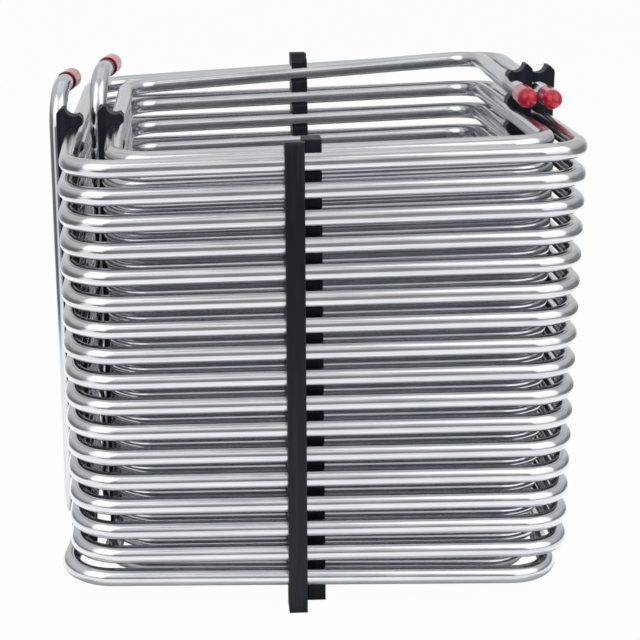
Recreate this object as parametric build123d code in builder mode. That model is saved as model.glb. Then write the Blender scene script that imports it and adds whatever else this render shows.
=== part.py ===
from build123d import *
import os
from math import cos, radians, sin, tan

# Immersion chiller: two square coils of stainless tube, one inside the other, held by snap-in
# combs on all four sides. +Z up, +X right, +Y back, standing on the feet of the combs.

# Tube and winding, in mm
tube_od = 12.7
tube_wall = 0.9
full_turns = 17
turn_pitch = 18.7
foot_level = 18.4        # tube centre above the floor after the full turns
tail_pitch = 8.0         # the last part-turn runs nearly level

# Outer coil, between tube centres
coil_width = 348.0
coil_depth = 348.0
outer_bend = 31.5
outer_fan = 0.025        # turns stand this much wider apart at the right, closer at the left
outer_rise = 0.0

# Inner coil, set in from the outer coil's tube centres
layer_step = 19.5        # at the front, the right and the back
left_step = 29.5         # wider at the left, where the inner riser stands
inner_bend = 27.0
inner_fan = 0.030
inner_rise = 1.7

# Hand-bent details
back_ease = 0.0105       # the turns fan out by this much less along the back
end_lift = 6.4           # the first back corner springs up
end_dip = 2.6            # the next corner sits low
end_tuck = 2.5           # the first front corner at the left sits in
last_slip = 10.0         # the last front run slips to the left
last_lift = 1.4          # and runs nearly level with the floor
last_drop = 1.5
side_ease = 25.0         # a side run leaves its line this far past its comb
ease_bend = 120.0

# Tube ends
outer_stub_end = -58.0   # the inlet stubs end in front of the right-hand combs
inner_stub_end = -63.0
stub_level = 32.0        # from here forward the stubs are level
riser_gap = 0.5          # between a riser and the side of its coil
foot_bend = 24.0
outlet_bend = 28.0
outlet_turn = 7.0        # degrees, inward
outer_outlet_rise = 14.4 # above the middle of the coil's first turn
inner_outlet_rise = 22.4
outer_outlet_lead = 8.0  # bare tube between the bend and the cap
inner_outlet_lead = 16.0

# Combs
comb_width = 13.0
comb_spine = 6.2
tooth_reach = 6.0        # from the tube's centre to the tooth tips
notch_play = 0.15
mouth_half = 5.5         # half the height between two snap lips
mouth_flare = 45.0       # degrees
horn_drop = 0.6          # below the centre of the half-round notch at the top
horn_width = 2.2
shoulder_drop = 4.4      # below the same centre
outer_front_cut = 3.5    # the front combs are cut off lower
inner_front_cut = 7.0
back_cut = 1.6
comb_edge = 0.8
comb_play = 0.4
front_comb_x = -20.6
front_comb_stagger = 13.3
outer_front_lean = 0.6   # degrees, the foot to the right
inner_front_lean = 0.9
back_comb_x = 4.2
back_lean = 1.0
left_comb_y = -50.0
left_top_rise = 1.0      # the side combs reach this much higher
right_comb_y = 0.0
right_comb_stagger = -12.0
right_top_rise = 1.7

# End caps
cap_play = 0.05
cap_wall = 0.95
cap_grip = 20.0          # length of tube inside a cap
cap_seat = 0.3           # between the tube's end and the cap's floor
cap_edge = 0.3

tube_radius = tube_od / 2
notch_radius = tube_radius + notch_play
comb_back = notch_radius + comb_spine
left_reach = coil_width / 2 + tube_od + riser_gap + tube_radius
right_reach = coil_width / 2 + comb_back
middle_x = (left_reach - right_reach) / 2

os.makedirs("parts", exist_ok=True)


class Coil:
    """The tube centres of one coil's four sides, and how it is wound."""

    def __init__(self, step, left, bend, fan, rise, stub_end, outlet_rise, outlet_lead):
        self.right = middle_x + coil_width / 2 - step
        self.left = middle_x - coil_width / 2 + left
        self.front = -coil_depth / 2 + step
        self.back = coil_depth / 2 - step
        self.bend = bend
        self.fan = fan
        self.rise = rise
        self.stub_end = stub_end
        self.outlet_height = foot_level + rise + full_turns * turn_pitch + outlet_rise
        self.outlet_lead = outlet_lead

    def level(self, turn, x, y=0.0):
        """Height of the tube's centre after so many turns from the right-hand combs."""
        if turn > full_turns:
            return foot_level + self.rise - (turn - full_turns) * tail_pitch
        fan = self.fan - back_ease if y == self.back else self.fan
        spread = 1 + fan * (x - middle_x) / (coil_width / 2)
        return foot_level + self.rise + (full_turns - turn) * turn_pitch * spread


def winding(coil):
    """Route of the tube's centre from inlet to outlet, and the bend radius at each corner."""
    inlet_level = coil.level(0, coil.right)
    points = [(coil.right, coil.stub_end, inlet_level), (coil.right, stub_level, inlet_level)]
    bends = [ease_bend]

    def corner(x, y, turn, lift=0.0, bend=coil.bend):
        points.append((x, y, coil.level(turn, x, y) + lift))
        bends.append(bend)

    for turn in range(full_turns):
        first = turn == 0
        last = turn == full_turns - 1
        tuck = end_tuck if first else -last_slip if last else 0.0
        slip = last_slip if last else 0.0
        corner(coil.right, coil.back, turn + 0.125, end_lift if first else 0.0)
        corner(coil.left, coil.back, turn + 0.375, -end_dip if first else 0.0)
        if tuck:
            corner(coil.left, left_comb_y - side_ease, turn + 0.5, bend=ease_bend)
        corner(coil.left + tuck, coil.front, turn + 0.625, last_lift if last else 0.0)
        corner(coil.right - slip, coil.front, turn + 0.875, -last_drop if last else 0.0)
        if slip:
            corner(coil.right, right_comb_y - side_ease, turn + 1.0, bend=ease_bend)

    riser_x = coil.left - tube_od - riser_gap
    riser_y = left_comb_y + comb_width / 2 + comb_play + tube_radius
    corner(coil.right, coil.back, full_turns + 0.125)
    corner(coil.left, coil.back, full_turns + 0.375)
    corner(riser_x, riser_y, full_turns + 0.5, bend=foot_bend)
    points.append((riser_x, riser_y, coil.outlet_height))
    bends.append(outlet_bend)
    run = outlet_bend + coil.outlet_lead + cap_grip
    turn_in = radians(outlet_turn)
    points.append((riser_x + run * sin(turn_in), riser_y + run * cos(turn_in), coil.outlet_height))
    return points, bends


def make_tube(name, points, bends):
    """The coil's tube, bore and all, swept along its route."""
    with BuildPart() as tube:
        with BuildLine() as centre:
            FilletPolyline(*points, radius=bends)
        start = Plane(origin=points[0], z_dir=Vector(*points[1]) - Vector(*points[0]))
        with BuildSketch(start):
            Circle(tube_radius)
            Circle(tube_radius - tube_wall, mode=Mode.SUBTRACT)
        sweep(path=centre.line)
    tube.part.label = name
    export_step(tube.part, f"parts/{name}.step")
    length = sum(edge.length for edge in centre.line.edges())
    print(name, "tube length", round(length), "mm")
    return tube.part


def crossings(points, side, station):
    """Where the runs on one side pass a comb, and which way the tube runs there, top first."""
    along = 0 if side in ("front", "back") else 1
    sign = 1 if side in ("back", "right") else -1
    across = 1 - along
    hits = []
    for start, end in zip(points, points[1:]):
        a = Vector(*start)
        b = Vector(*end)
        if (start[along] - station) * (end[along] - station) >= 0:
            continue
        if sign * (start[across] + end[across]) < 0:
            continue
        part = (station - start[along]) / (end[along] - start[along])
        hits.append((a + (b - a) * part, (b - a).normalized()))
    return hits


def make_comb(name, coil, points, side, station, rise, cut, tilt):
    """A comb on the outside of one side of a coil, with a snap-in notch for every run."""
    outward = {"front": (0, -1), "back": (0, 1), "left": (-1, 0), "right": (1, 0)}[side]
    base_x, base_y = {
        "front": (station, coil.front),
        "back": (station, coil.back),
        "left": (coil.left, station),
        "right": (coil.right, station),
    }[side]
    out = Vector(outward[0], outward[1], 0)
    lean = radians(-outward[1] * tilt)
    hits = crossings(points, side, station)
    second_centre, top_way = hits[1]
    scallop = (Vector(base_x, base_y, second_centre.Z + 2 * turn_pitch + rise), top_way)
    middle = scallop[0].Z / 2
    normal = out.cross(Vector(0, 0, 1)) * cos(lean) - Vector(0, 0, sin(lean))
    profile_plane = Plane(origin=Vector(base_x, base_y, middle), x_dir=out, z_dir=normal)
    foot = -middle - comb_width
    shoulder = middle - shoulder_drop
    top = middle - cut
    slope = (comb_back - notch_radius - horn_width) / (shoulder_drop - horn_drop)
    crest = [(comb_back, shoulder), (comb_back - (top - shoulder) * slope, top)]
    if top < shoulder:
        crest = [(comb_back, top)]

    with BuildPart() as comb:
        with BuildSketch(profile_plane):
            with BuildLine():
                Polyline((-tooth_reach, foot), (comb_back, foot), *crest, (-tooth_reach, top), close=True)
            make_face()
        extrude(amount=comb_width / 2, both=True)
        split(bisect_by=Plane.XY, keep=Keep.TOP)
        outer_face = comb.faces().sort_by(Axis((0, 0, 0), tuple(out)))[-1]
        chamfer(outer_face.edges(), comb_edge)
        for centre, way in [scallop] + hits:
            with BuildSketch(Plane(origin=centre, x_dir=out, z_dir=way)):
                Circle(notch_radius)
                lip = -(notch_radius**2 - mouth_half**2) ** 0.5
                tip = lip - (tooth_reach + notch_radius)
                flare = mouth_half + (lip - tip) * tan(radians(mouth_flare))
                with BuildLine():
                    Polyline((lip, mouth_half), (tip, flare), (tip, -flare), (lip, -mouth_half), close=True)
                make_face()
            extrude(amount=comb_width, both=True, mode=Mode.SUBTRACT)
    comb.part.label = name
    export_step(comb.part, f"parts/{name}.step")


def make_cap(name, end, way):
    """A push-on cap with a ball end, over the last of a tube."""
    bore = tube_radius + cap_play
    skirt = bore + cap_wall
    mouth = -cap_grip
    up = Vector(0, 0, 1)
    with BuildPart() as cap:
        with BuildSketch(Plane(origin=end, x_dir=up, z_dir=up.cross(way))):
            with BuildLine():
                Polyline(
                    (0, cap_seat + skirt),
                    (0, cap_seat),
                    (bore, cap_seat),
                    (bore, mouth),
                    (skirt, mouth),
                    (skirt, cap_seat),
                )
                RadiusArc((skirt, cap_seat), (0, cap_seat + skirt), -skirt)
            make_face()
        revolve(axis=Axis(tuple(end), tuple(way)))
        rim = cap.edges().filter_by(GeomType.CIRCLE).group_by(Axis(tuple(end), tuple(way)))[0]
        fillet(rim.sort_by(SortBy.RADIUS)[-1], cap_edge)
    cap.part.label = name
    export_step(cap.part, f"parts/{name}.step")


coils = {
    "outer": Coil(
        0.0, 0.0, outer_bend, outer_fan, outer_rise, outer_stub_end, outer_outlet_rise, outer_outlet_lead
    ),
    "inner": Coil(
        layer_step,
        left_step,
        inner_bend,
        inner_fan,
        inner_rise,
        inner_stub_end,
        inner_outlet_rise,
        inner_outlet_lead,
    ),
}
# where each comb stands, how far the inner one is moved along, and how much higher both reach
stations = {
    "front": (middle_x + front_comb_x, front_comb_stagger, 0.0),
    "back": (middle_x + back_comb_x, 0.0, 0.0),
    "left": (left_comb_y, 0.0, left_top_rise),
    "right": (right_comb_y, right_comb_stagger, right_top_rise),
}
# how far below the top notch's centre a comb is cut off, and how much it leans
fittings = {
    "outer_front": (outer_front_cut, outer_front_lean),
    "inner_front": (inner_front_cut, inner_front_lean),
    "outer_back": (back_cut, back_lean),
    "inner_back": (back_cut, back_lean),
}

for layer, coil in coils.items():
    points, bends = winding(coil)
    make_tube(f"{layer}_coil", points, bends)
    for side, (station, stagger, rise) in stations.items():
        if layer == "inner":
            station += stagger
        cut, tilt = fittings.get(f"{layer}_{side}", (horn_drop, 0.0))
        make_comb(f"{layer}_comb_{side}", coil, points, side, station, rise, cut, tilt)
    for port, end, neighbour in (("inlet", points[0], points[1]), ("outlet", points[-1], points[-2])):
        way = (Vector(*end) - Vector(*neighbour)).normalized()
        make_cap(f"{layer}_{port}_cap", Vector(*end), way)
        print(layer, port, "tube end", [round(c, 3) for c in end], "pointing", [round(c, 4) for c in way])
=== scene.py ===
# Immersion chiller: bent and polished tube coils, snap-in combs and push-on caps.
import math

import bmesh
import bpy
from mathutils import Matrix, Vector


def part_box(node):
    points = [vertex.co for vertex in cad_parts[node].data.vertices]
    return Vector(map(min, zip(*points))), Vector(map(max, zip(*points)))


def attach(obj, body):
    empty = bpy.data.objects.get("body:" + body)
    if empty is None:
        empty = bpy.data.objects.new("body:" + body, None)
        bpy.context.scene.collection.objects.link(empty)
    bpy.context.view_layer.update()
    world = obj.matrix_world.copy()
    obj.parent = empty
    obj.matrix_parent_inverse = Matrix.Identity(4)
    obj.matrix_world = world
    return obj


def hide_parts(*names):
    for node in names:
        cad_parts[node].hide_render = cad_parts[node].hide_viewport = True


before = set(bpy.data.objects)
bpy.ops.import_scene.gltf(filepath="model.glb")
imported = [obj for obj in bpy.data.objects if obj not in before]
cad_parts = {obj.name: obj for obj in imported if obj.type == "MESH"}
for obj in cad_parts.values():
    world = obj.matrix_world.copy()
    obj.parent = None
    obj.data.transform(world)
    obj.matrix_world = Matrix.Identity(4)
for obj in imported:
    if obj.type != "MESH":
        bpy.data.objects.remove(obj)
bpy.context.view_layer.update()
mm = 0.001
up = Vector((0, 0, 1))
print("frame loaded:", ", ".join(sorted(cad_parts)))


def feed(tree, node, inputs):
    # an input takes a value, or another node's output to link it to
    for key, value in inputs.items():
        if isinstance(value, bpy.types.NodeSocket):
            tree.links.new(value, node.inputs[key])
        else:
            node.inputs[key].default_value = value


def addNode(tree, kind, inputs=None, **settings):
    node = tree.nodes.new(kind)
    for key, value in settings.items():
        setattr(node, key, value)
    feed(tree, node, inputs or {})
    return node


def addMath(tree, operation, *values):
    return addNode(tree, "ShaderNodeMath", dict(enumerate(values)), operation=operation).outputs[0]


def addSmoothStep(tree, value, span):
    return addNode(tree, "ShaderNodeMapRange", {"Value": value, "From Min": span[0], "From Max": span[1]},
                   interpolation_type="SMOOTHSTEP").outputs[0]


def addRamp(tree, value, stops):  # each stop is a place and a grey or a colour
    ramp = addNode(tree, "ShaderNodeValToRGB", {"Fac": value})
    elements = ramp.color_ramp.elements
    while len(elements) > 1:
        elements.remove(elements[-1])
    for place, (position, shade) in enumerate(stops):
        stop = elements[0] if place == 0 else elements.new(position)
        stop.position = position
        colour = shade if isinstance(shade, tuple) else (shade, shade, shade)
        stop.color = (*colour, 1)
    return ramp.outputs["Color"]


def newMaterial(name):
    material = bpy.data.materials.new(name)
    material.use_nodes = True
    tree = material.node_tree
    return material, tree, tree.nodes["Principled BSDF"]


def addObject(name, bm, material):
    mesh = bpy.data.meshes.new(name)
    bm.to_mesh(mesh)
    bm.free()
    mesh.materials.append(material)
    item = bpy.data.objects.new(name, mesh)
    bpy.context.collection.objects.link(item)
    return item


steelLook = {
    "colour": (0.66, 0.672, 0.69),
    "shade": (0.53, 0.545, 0.57),
    "tintRange": (0.38, 0.60),
    "roughness": (0.11, 0.22),
    "roughRange": (0.35, 0.65),
    # how often each changes round the tube and along a metre, and its fineness
    "lines": (30.0, 5.0, 3.0),
    "patches": (5.0, 22.0, 3.0),
    "ripples": (2.0, 7.0, 1.0),
    "noiseRoughness": 0.6,
    "patchShare": 0.4,
    "lineBump": (0.04, 0.0002),    # strength, and height in metres
    "rippleBump": (0.25, 0.0006),
}


def makeSteel(look):
    material, tree, shader = newMaterial("polishedTube")
    uv = addNode(tree, "ShaderNodeUVMap", uv_map="tubeUv").outputs["UV"]

    def stretched(around, along, detail):
        place = addNode(tree, "ShaderNodeMapping", {"Vector": uv, "Scale": (around, along, 1)})
        return addNode(tree, "ShaderNodeTexNoise", {
            "Vector": place.outputs["Vector"], "Scale": 1.0, "Detail": detail,
            "Roughness": look["noiseRoughness"]}).outputs["Fac"]

    lines = stretched(*look["lines"])
    patches = stretched(*look["patches"])
    ripples = stretched(*look["ripples"])
    both = addNode(tree, "ShaderNodeMix", {"Factor": look["patchShare"], 2: lines, 3: patches},
                   data_type="FLOAT")
    wave = addNode(tree, "ShaderNodeBump", {
        "Strength": look["rippleBump"][0], "Distance": look["rippleBump"][1], "Height": ripples})
    fine = addNode(tree, "ShaderNodeBump", {
        "Strength": look["lineBump"][0], "Distance": look["lineBump"][1], "Height": lines,
        "Normal": wave.outputs["Normal"]})
    feed(tree, shader, {
        "Metallic": 1.0,
        "Base Color": addRamp(tree, both.outputs[0], zip(look["tintRange"], (look["shade"], look["colour"]))),
        "Roughness": addRamp(tree, patches, zip(look["roughRange"], look["roughness"])),
        "Normal": fine.outputs["Normal"],
    })
    return material


# lengths are in millimetres and angles in degrees
tube = {"diameter": 12.7, "wall": 0.9, "sides": 32, "bendStep": 7.5, "boreDepth": 30.0}

winding = {
    "turns": 17, "pitch": 18.7, "footLevel": 18.4, "tailPitch": 8.0,
    "width": 348.0, "depth": 348.0,                         # between the outer coil's side centres
    "backEase": 0.0105,                                     # the turns fan out less at the back
    "endLift": 6.4, "endDip": 2.6, "endTuck": 2.5,          # of the top turn's corners
    "lastSlip": 10.0, "lastLift": 1.4, "lastDrop": 1.5,     # of the bottom turn's front corners
    "sideEase": 25.0, "easeBend": 120.0, "stubBend": 32.0,  # wide bends by the moved corners and the stub
    "riserGap": 0.5, "footBend": 24.0, "outletBend": 28.0, "outletTurn": 7.0,
    "combGap": 6.9, "leftComb": -50.0, "rightComb": 0.0,    # where the combs leave room for the tube
}

# step, left and rise place the inner coil within the outer one; fan spreads the turns to the right
coilSettings = {
    "outer": {"step": 0.0, "left": 0.0, "bend": 31.5, "fan": 0.025, "rise": 0.0,
              "stubEnd": -58.0, "outletRise": 14.4, "outletRun": 56.0},
    "inner": {"step": 19.5, "left": 29.5, "bend": 27.0, "fan": 0.030, "rise": 1.7,
              "stubEnd": -63.0, "outletRise": 22.4, "outletRun": 64.0},
}

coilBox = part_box("outer_coil")
# the outer coil's right side is one tube radius inside its box
middleX = coilBox[1][0] / mm - tube["diameter"] / 2 - winding["width"] / 2


def levelOf(coil, turn, x, back=False):  # height of the tube's centre after so many turns
    w = winding
    if turn > w["turns"]:
        return w["footLevel"] + coil["rise"] - (turn - w["turns"]) * w["tailPitch"]
    fan = coil["fan"] - w["backEase"] if back else coil["fan"]
    spread = 1 + fan * (x - middleX) / (w["width"] / 2)
    return w["footLevel"] + coil["rise"] + (w["turns"] - turn) * w["pitch"] * spread


def routeOf(coil):
    # the tube's corners from the inlet down to the foot and up the riser, each with its bend; a turn
    # is counted from the middle of the right side, by the back, so the first corner is an eighth on
    w = winding
    right = middleX + w["width"] / 2 - coil["step"]
    left = middleX - w["width"] / 2 + coil["left"]
    front = -w["depth"] / 2 + coil["step"]
    back = -front
    level = levelOf(coil, 0, right)
    route = [((right, coil["stubEnd"], level), 0), ((right, w["stubBend"], level), w["easeBend"])]

    def corner(x, y, turn, lift=0.0, bend=coil["bend"]):
        route.append(((x, y, levelOf(coil, turn, x, y == back) + lift), bend))

    for turn in range(w["turns"]):
        first = turn == 0
        last = turn == w["turns"] - 1
        tuck = w["endTuck"] if first else -w["lastSlip"] if last else 0.0
        slip = w["lastSlip"] if last else 0.0
        corner(right, back, turn + 0.125, w["endLift"] if first else 0.0)
        corner(left, back, turn + 0.375, -w["endDip"] if first else 0.0)
        if tuck:
            corner(left, w["leftComb"] - w["sideEase"], turn + 0.5, bend=w["easeBend"])
        corner(left + tuck, front, turn + 0.625, w["lastLift"] if last else 0.0)
        corner(right - slip, front, turn + 0.875, -w["lastDrop"] if last else 0.0)
        if slip:
            corner(right, w["rightComb"] - w["sideEase"], turn + 1.0, bend=w["easeBend"])
    riserX = left - tube["diameter"] - w["riserGap"]
    riserY = w["leftComb"] + w["combGap"] + tube["diameter"] / 2
    corner(right, back, w["turns"] + 0.125)
    corner(left, back, w["turns"] + 0.375)
    corner(riserX, riserY, w["turns"] + 0.5, bend=w["footBend"])
    height = w["footLevel"] + coil["rise"] + w["turns"] * w["pitch"] + coil["outletRise"]
    turnIn = math.radians(w["outletTurn"])
    run = coil["outletRun"]
    route.append(((riserX, riserY, height), w["outletBend"]))
    route.append(((riserX + run * math.sin(turnIn), riserY + run * math.cos(turnIn), height), 0))
    return [(Vector(point) * mm, bend * mm) for point, bend in route]


class TubeBender:
    # feeds a ring of edges through straights and bends, and notes where each ring lies

    def __init__(self, start, direction, radius, sides):
        self.bm = bmesh.new()
        self.around = self.bm.verts.layers.float.new("around")
        self.along = self.bm.verts.layers.float.new("along")
        self.fed = 0.0
        turn = direction.to_track_quat("Z", "Y").to_matrix().to_4x4()
        made = bmesh.ops.create_circle(self.bm, segments=sides, radius=radius,
                                       matrix=Matrix.Translation(start) @ turn)
        self.ring = made["verts"]
        for place, vert in enumerate(self.ring):
            vert[self.around] = place / sides
        self.edges = list(self.bm.edges)

    def extrude(self):
        old = set(self.ring)
        made = bmesh.ops.extrude_edge_only(self.bm, edges=self.edges)["geom"]
        self.ring = [item for item in made if isinstance(item, bmesh.types.BMVert)]
        ringSet = set(self.ring)
        self.edges = [item for item in made
                      if isinstance(item, bmesh.types.BMEdge) and set(item.verts) <= ringSet]
        for vert in self.ring:
            root = next(edge.other_vert(vert) for edge in vert.link_edges if edge.other_vert(vert) in old)
            vert[self.around] = root[self.around]
            vert[self.along] = self.fed

    def straight(self, vector):
        self.fed += vector.length
        self.extrude()
        bmesh.ops.translate(self.bm, vec=vector, verts=self.ring)

    def bend(self, centre, axis, angle, radius, step):
        count = max(1, math.ceil(abs(math.degrees(angle)) / step))
        for _ in range(count):
            self.fed += radius * abs(angle) / count
            self.extrude()
            bmesh.ops.rotate(self.bm, cent=centre, matrix=Matrix.Rotation(angle / count, 3, axis),
                             verts=self.ring)

    def scaleRing(self, centre, factor):
        self.extrude()
        bmesh.ops.scale(self.bm, vec=(factor, factor, factor), space=Matrix.Translation(-centre),
                        verts=self.ring)


def openEnd(bender, end, direction, wall, radius, depth):
    # turns the wall in at an end, runs the bore back a little way and closes it
    bender.scaleRing(end, (radius - wall) / radius)
    bender.straight(-direction * depth)
    bmesh.ops.contextual_create(bender.bm, geom=bender.edges)


def makeTube(name, route, steel):
    radius = tube["diameter"] / 2 * mm
    points = [point for point, _ in route]
    start = points[0]
    heading = (points[1] - points[0]).normalized()
    bender = TubeBender(start, heading, radius, tube["sides"])
    firstRing, firstEdges = bender.ring, bender.edges
    at = start
    for (point, bend), following in zip(route[1:-1], points[2:]):
        leaving = (following - point).normalized()
        angle = heading.angle(leaving)
        reach = bend * math.tan(angle / 2)
        axis = heading.cross(leaving).normalized()
        arcStart = point - heading * reach
        inward = axis.cross(heading).normalized()
        bender.straight(arcStart - at)
        bender.bend(arcStart + inward * bend, axis, angle, bend, tube["bendStep"])
        at = point + leaving * reach
        heading = leaving
    bender.straight(points[-1] - at)
    wall, depth = tube["wall"] * mm, tube["boreDepth"] * mm
    openEnd(bender, points[-1], heading, wall, radius, depth)
    bender.ring, bender.edges = firstRing, firstEdges
    openEnd(bender, start, (start - points[1]).normalized(), wall, radius, depth)

    bm = bender.bm
    bmesh.ops.recalc_face_normals(bm, faces=bm.faces)
    uv = bm.loops.layers.uv.new("tubeUv")
    for face in bm.faces:
        face.smooth = True
        rounds = [loop.vert[bender.around] for loop in face.loops]
        seam = max(rounds) - min(rounds) > 0.5  # the face that closes the round
        for loop, turn in zip(face.loops, rounds):
            loop[uv].uv = (turn + 1 if seam and turn < 0.5 else turn, loop.vert[bender.along])
    piece = addObject(name, bm, steel)
    print(name, "fed", round(bender.fed, 3), "m,", len(piece.data.polygons), "faces")
    return piece


steel = makeSteel(steelLook)
for layer, coil in coilSettings.items():
    piece = makeTube(layer + "Tube", routeOf(coil), steel)
    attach(piece, "coils")
    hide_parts(layer + "_coil")
print("coils bent")


combLook = {
    "colour": (0.005, 0.0065, 0.012),
    "worn": (0.013, 0.016, 0.025),
    "wornRange": (0.45, 0.72),
    "roughness": (0.40, 0.55),
    "roughRange": (0.35, 0.70),
    "streaks": (240, 240, 14),    # along x, y and z in a metre
    "grain": 900.0,
    "grainBump": (0.12, 0.0002),  # strength, and height in metres
    "specular": 0.25,
}


def makeCombPlastic(look):
    material, tree, shader = newMaterial("combPlastic")
    place = addNode(tree, "ShaderNodeTexCoord").outputs["Object"]
    streakPlace = addNode(tree, "ShaderNodeMapping", {"Vector": place, "Scale": look["streaks"]})
    streaks = addNode(tree, "ShaderNodeTexNoise", {
        "Vector": streakPlace.outputs["Vector"], "Scale": 1.0, "Detail": 3.0}).outputs["Fac"]
    grain = addNode(tree, "ShaderNodeTexNoise", {"Vector": place, "Scale": look["grain"], "Detail": 2.0})
    bump = addNode(tree, "ShaderNodeBump", {
        "Strength": look["grainBump"][0], "Distance": look["grainBump"][1], "Height": grain.outputs["Fac"]})
    feed(tree, shader, {
        "Base Color": addRamp(tree, streaks, zip(look["wornRange"], (look["colour"], look["worn"]))),
        "Roughness": addRamp(tree, streaks, zip(look["roughRange"], look["roughness"])),
        "Specular IOR Level": look["specular"],
        "Normal": bump.outputs["Normal"],
    })
    return material


combPlastic = makeCombPlastic(combLook)
for name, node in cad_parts.items():
    if "_comb_" in name:
        for slot in node.material_slots:
            slot.material = combPlastic
print("combs finished")


capLook = {
    "ball": (0.80, 0.006, 0.045),
    # the skirt's paler pink is painted light: the glow through its thin wall from the bright tube and
    # backdrop behind it, while the ball's deep red is the thick vinyl
    "skirt": (0.97, 0.21, 0.36),
    "rim": (0.45, 0.005, 0.04),
    # where each colour ends or starts, from 0 at the mouth to 1 at the tip
    "rimEnd": 0.04, "skirtStart": 0.07, "skirtEnd": 0.60, "ballStart": 0.76,
    "shader": {"Roughness": 0.12, "IOR": 1.45, "Transmission Weight": 0.34,
               "Coat Weight": 0.4, "Coat Roughness": 0.05},
}
capShape = {
    "grip": 20.0, "play": 0.05, "wall": 0.95, "seat": 0.3, "seatRing": 0.6, "corner": 0.2,
    "mouthBand": 1.2, "innerEdge": (0.15, 0.25), "outerEdge": 0.3, "outerEdgeMiddle": 0.08,
    "steps": 40, "domeSteps": 10, "weld": 1e-6,
}


def makeVinyl(look):
    material, tree, shader = newMaterial("capVinyl")
    along = addNode(tree, "ShaderNodeAttribute", attribute_name="along").outputs["Fac"]
    # the paler pink along the skirt is painted light, the glow through its thin wall; the ball end keeps the
    # deep red of thick vinyl
    tint = addRamp(tree, along, [(0.0, look["rim"]), (look["rimEnd"], look["rim"]),
                                 (look["skirtStart"], look["skirt"]), (look["skirtEnd"], look["skirt"]),
                                 (look["ballStart"], look["ball"])])
    feed(tree, shader, {"Base Color": tint, **look["shader"]})
    return material


def makeCap(name, end, way, vinyl):
    # the profile is spun round the tube's axis: bore, mouth, skirt and ball end
    s = capShape
    bore = tube["diameter"] / 2 + s["play"]
    skirt = bore + s["wall"]
    seat, mouth = s["seat"], -s["grip"]
    corner, band = s["corner"], mouth + s["mouthBand"]
    innerReach, innerHeight = s["innerEdge"]
    edge, edgeMiddle = s["outerEdge"], s["outerEdgeMiddle"]
    profile = [(0, seat), (bore * s["seatRing"], seat), (bore - corner, seat), (bore, seat - corner),
               (bore, mouth / 2), (bore, band), (bore, mouth + innerHeight), (bore + innerReach, mouth),
               (skirt - edge, mouth), (skirt - edgeMiddle, mouth + edgeMiddle), (skirt, mouth + edge),
               (skirt, band), (skirt, mouth / 2)]
    for step in range(s["domeSteps"]):
        angle = step / s["domeSteps"] * math.pi / 2
        profile.append((skirt * math.cos(angle), seat + skirt * math.sin(angle)))
    profile.append((0, seat + skirt))
    bm = bmesh.new()
    side = up.cross(way).normalized()
    verts = [bm.verts.new(end + side * (radius * mm) + way * (height * mm)) for radius, height in profile]
    edges = [bm.edges.new(pair) for pair in zip(verts, verts[1:])]
    bmesh.ops.spin(bm, geom=verts + edges, cent=end, axis=way, angle=math.tau, steps=s["steps"],
                   use_merge=True, use_duplicate=False)
    bmesh.ops.remove_doubles(bm, verts=bm.verts, dist=s["weld"])
    bmesh.ops.recalc_face_normals(bm, faces=bm.faces)
    along = bm.verts.layers.float.new("along")
    for vert in bm.verts:
        vert[along] = ((vert.co - end).dot(way) / mm - mouth) / (seat + skirt - mouth)
    for face in bm.faces:
        face.smooth = True
    return addObject(name, bm, vinyl)


vinyl = makeVinyl(capLook)
for layer, coil in coilSettings.items():
    route = [point for point, _ in routeOf(coil)]
    for port, end, neighbour in (("inlet", route[0], route[1]), ("outlet", route[-1], route[-2])):
        cap = makeCap(layer + port.capitalize() + "Cap", end, (end - neighbour).normalized(), vinyl)
        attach(cap, f"{layer}_{port}_cover")
        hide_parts(f"{layer}_{port}_cap")
print("caps pushed on")


# the studio is in metres
studio = {
    "camera": {"place": (-0.08078, -1.22455, 0.52702), "yaw": 4.353, "pitch": 16.6, "roll": 0.391,
               "lens": 91.04, "sensor": 36.0},
    "floor": {
        "size": 12.0, "colour": (0.90, 0.90, 0.905), "roughness": 0.9, "specular": 0.1,
        "glow": 0.97, "mirrored": 1.34, "shade": (0.185, 0.215), "table": (0.60, 0.82),
        "room": [(0.0, 0.55), (0.10, 0.55), (0.17, 0.18), (0.29, 0.12), (0.325, 0.85), (0.355, 0.85),
                 (0.385, 0.15), (0.440, 0.15), (0.460, 0.25), (0.522, 0.25), (0.539, 0.40),
                 (0.708, 0.40), (0.736, 0.20), (0.847, 0.20), (0.917, 0.55), (1.0, 0.55)],
    },
    "world": {
        "fill": 0.30, "backdrop": 0.75, "behind": (0.60, 0.90),
        "reflected": [(0.0, 0.30), (0.48, 0.28), (0.56, 0.30), (0.66, 0.64), (0.80, 0.74), (1.0, 0.70)],
    },
    "aim": (0, 0, 0.18),
    "lamps": [
        {"name": "overhead", "size": (2.2, 1.6), "place": (0.0, 0.5, 2.4), "power": 2.5},
        {"name": "aboveCamera", "size": (0.9, 0.70), "place": (-0.25, -1.95, 1.36), "power": 0.9},
        {"name": "leftPanel", "size": (1.4, 2.2), "place": (-1.03, -1.09, 1.12), "power": 10.3},
        {"name": "rightPanel", "size": (2.0, 2.5), "place": (1.25, -1.20, 1.22), "power": 16.5},
    ],
}
white = (1, 1, 1, 1)


def makeCamera(settings):
    data = bpy.data.cameras.new("camera")
    data.lens = settings["lens"]
    data.sensor_width = settings["sensor"]
    camera = bpy.data.objects.new("camera", data)
    bpy.context.collection.objects.link(camera)
    yaw = Matrix.Rotation(-math.radians(settings["yaw"]), 4, "Z")
    tilt = Matrix.Rotation(math.radians(90 - settings["pitch"]), 4, "X")
    roll = Matrix.Rotation(math.radians(settings["roll"]), 4, "Z")
    camera.matrix_world = Matrix.Translation(settings["place"]) @ yaw @ tilt @ roll
    bpy.context.scene.camera = camera


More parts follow.
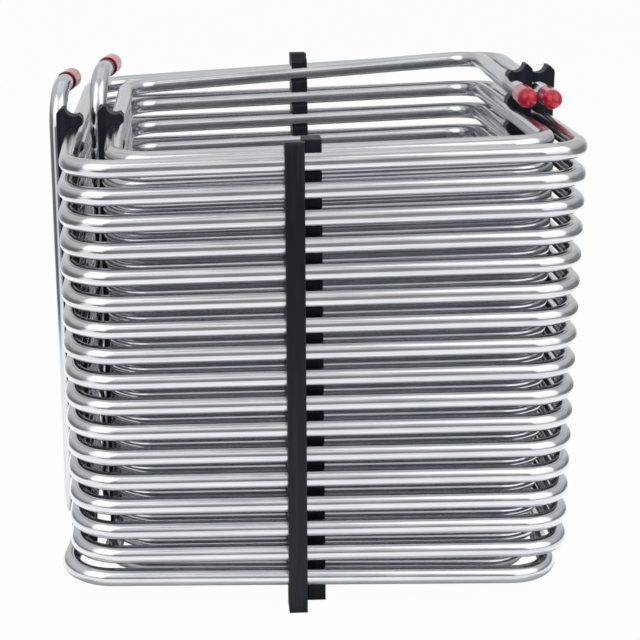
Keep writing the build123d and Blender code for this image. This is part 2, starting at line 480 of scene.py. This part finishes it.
def raysOf(tree):
    # the rays that see plain white, also through the clear caps, and those that mirror the studio
    path = addNode(tree, "ShaderNodeLightPath").outputs
    seen = addMath(tree, "MAXIMUM", path["Is Camera Ray"], path["Is Transmission Ray"])
    return seen, path["Is Glossy Ray"]


def makeFloor(settings):
    material, tree, shader = newMaterial("paleFloor")
    feed(tree, shader, {"Base Color": (*settings["colour"], 1), "Roughness": settings["roughness"],
                        "Specular IOR Level": settings["specular"]})
    seen, glossy = raysOf(tree)
    plain = addNode(tree, "ShaderNodeEmission", {"Color": white, "Strength": 1.0})
    direct = addNode(tree, "ShaderNodeMixShader", {
        "Fac": addMath(tree, "MULTIPLY", seen, settings["glow"]),
        1: shader.outputs[0], 2: plain.outputs[0]})

    # in the steel the floor is a white table with shade under the coils, and past its edge come the
    # light and dark sides of the room, by their angle from behind round the left
    place = addNode(tree, "ShaderNodeTexCoord").outputs["Object"]
    x, y = addNode(tree, "ShaderNodeSeparateXYZ", {0: place}).outputs[:2]
    reach = addMath(tree, "MAXIMUM", addMath(tree, "ABSOLUTE", x), addMath(tree, "ABSOLUTE", y))
    angle = addMath(tree, "ARCTAN2", x, addMath(tree, "MULTIPLY", y, -1.0))
    turned = addNode(tree, "ShaderNodeMapRange", {"Value": angle, "From Min": -math.pi, "From Max": math.pi})
    table = addNode(tree, "ShaderNodeMix", {
        "Factor": addSmoothStep(tree, reach, settings["table"]),
        2: 1.0, 3: addRamp(tree, turned.outputs[0], settings["room"])}, data_type="FLOAT")
    mirrored = addNode(tree, "ShaderNodeEmission", {
        "Color": white, "Strength": addMath(tree, "MULTIPLY", table.outputs[0], settings["mirrored"])})
    blend = addNode(tree, "ShaderNodeMixShader", {
        "Fac": addMath(tree, "MULTIPLY", addSmoothStep(tree, reach, settings["shade"]), glossy),
        1: direct.outputs[0], 2: mirrored.outputs[0]})
    feed(tree, tree.nodes["Material Output"], {"Surface": blend.outputs[0]})

    bm = bmesh.new()
    bmesh.ops.create_grid(bm, x_segments=2, y_segments=2, size=settings["size"] / 2)
    floor = addObject("floor", bm, material)


def makeWorld(settings):
    world = bpy.data.worlds.new("studio")
    bpy.context.scene.world = world
    world.use_nodes = True
    tree = world.node_tree
    tree.nodes.clear()
    seen, glossy = raysOf(tree)
    direction = addNode(tree, "ShaderNodeTexCoord").outputs["Generated"]
    _, y, z = addNode(tree, "ShaderNodeSeparateXYZ", {0: direction}).outputs
    height = addNode(tree, "ShaderNodeMapRange", {"Value": z, "From Min": -1.0, "From Max": 1.0})
    backdrop = addNode(tree, "ShaderNodeMix", {
        "Factor": addSmoothStep(tree, y, settings["behind"]),
        6: addRamp(tree, height.outputs[0], settings["reflected"]),
        7: (settings["backdrop"],) * 3 + (1,)}, data_type="RGBA")
    mirror = addNode(tree, "ShaderNodeBackground", {"Color": backdrop.outputs[2], "Strength": 1.0})
    room = addNode(tree, "ShaderNodeBackground", {"Color": white, "Strength": settings["fill"]})
    lit = addNode(tree, "ShaderNodeMixShader", {"Fac": glossy, 1: room.outputs[0], 2: mirror.outputs[0]})
    plain = addNode(tree, "ShaderNodeBackground", {"Color": white, "Strength": 1.0})
    final = addNode(tree, "ShaderNodeMixShader", {"Fac": seen, 1: lit.outputs[0], 2: plain.outputs[0]})
    addNode(tree, "ShaderNodeOutputWorld", {"Surface": final.outputs[0]})


def makeLamp(settings, aim):
    data = bpy.data.lights.new(settings["name"], "AREA")
    data.shape = "RECTANGLE"
    data.size, data.size_y = settings["size"]
    data.energy = settings["power"]
    lamp = bpy.data.objects.new(settings["name"], data)
    bpy.context.collection.objects.link(lamp)
    place = Vector(settings["place"])
    turn = (Vector(aim) - place).to_track_quat("-Z", "Y").to_matrix().to_4x4()
    lamp.matrix_world = Matrix.Translation(place) @ turn


makeCamera(studio["camera"])
makeFloor(studio["floor"])
makeWorld(studio["world"])
for lamp in studio["lamps"]:
    makeLamp(lamp, studio["aim"])
bpy.context.scene.view_settings.view_transform = "Standard"
print("studio lit")
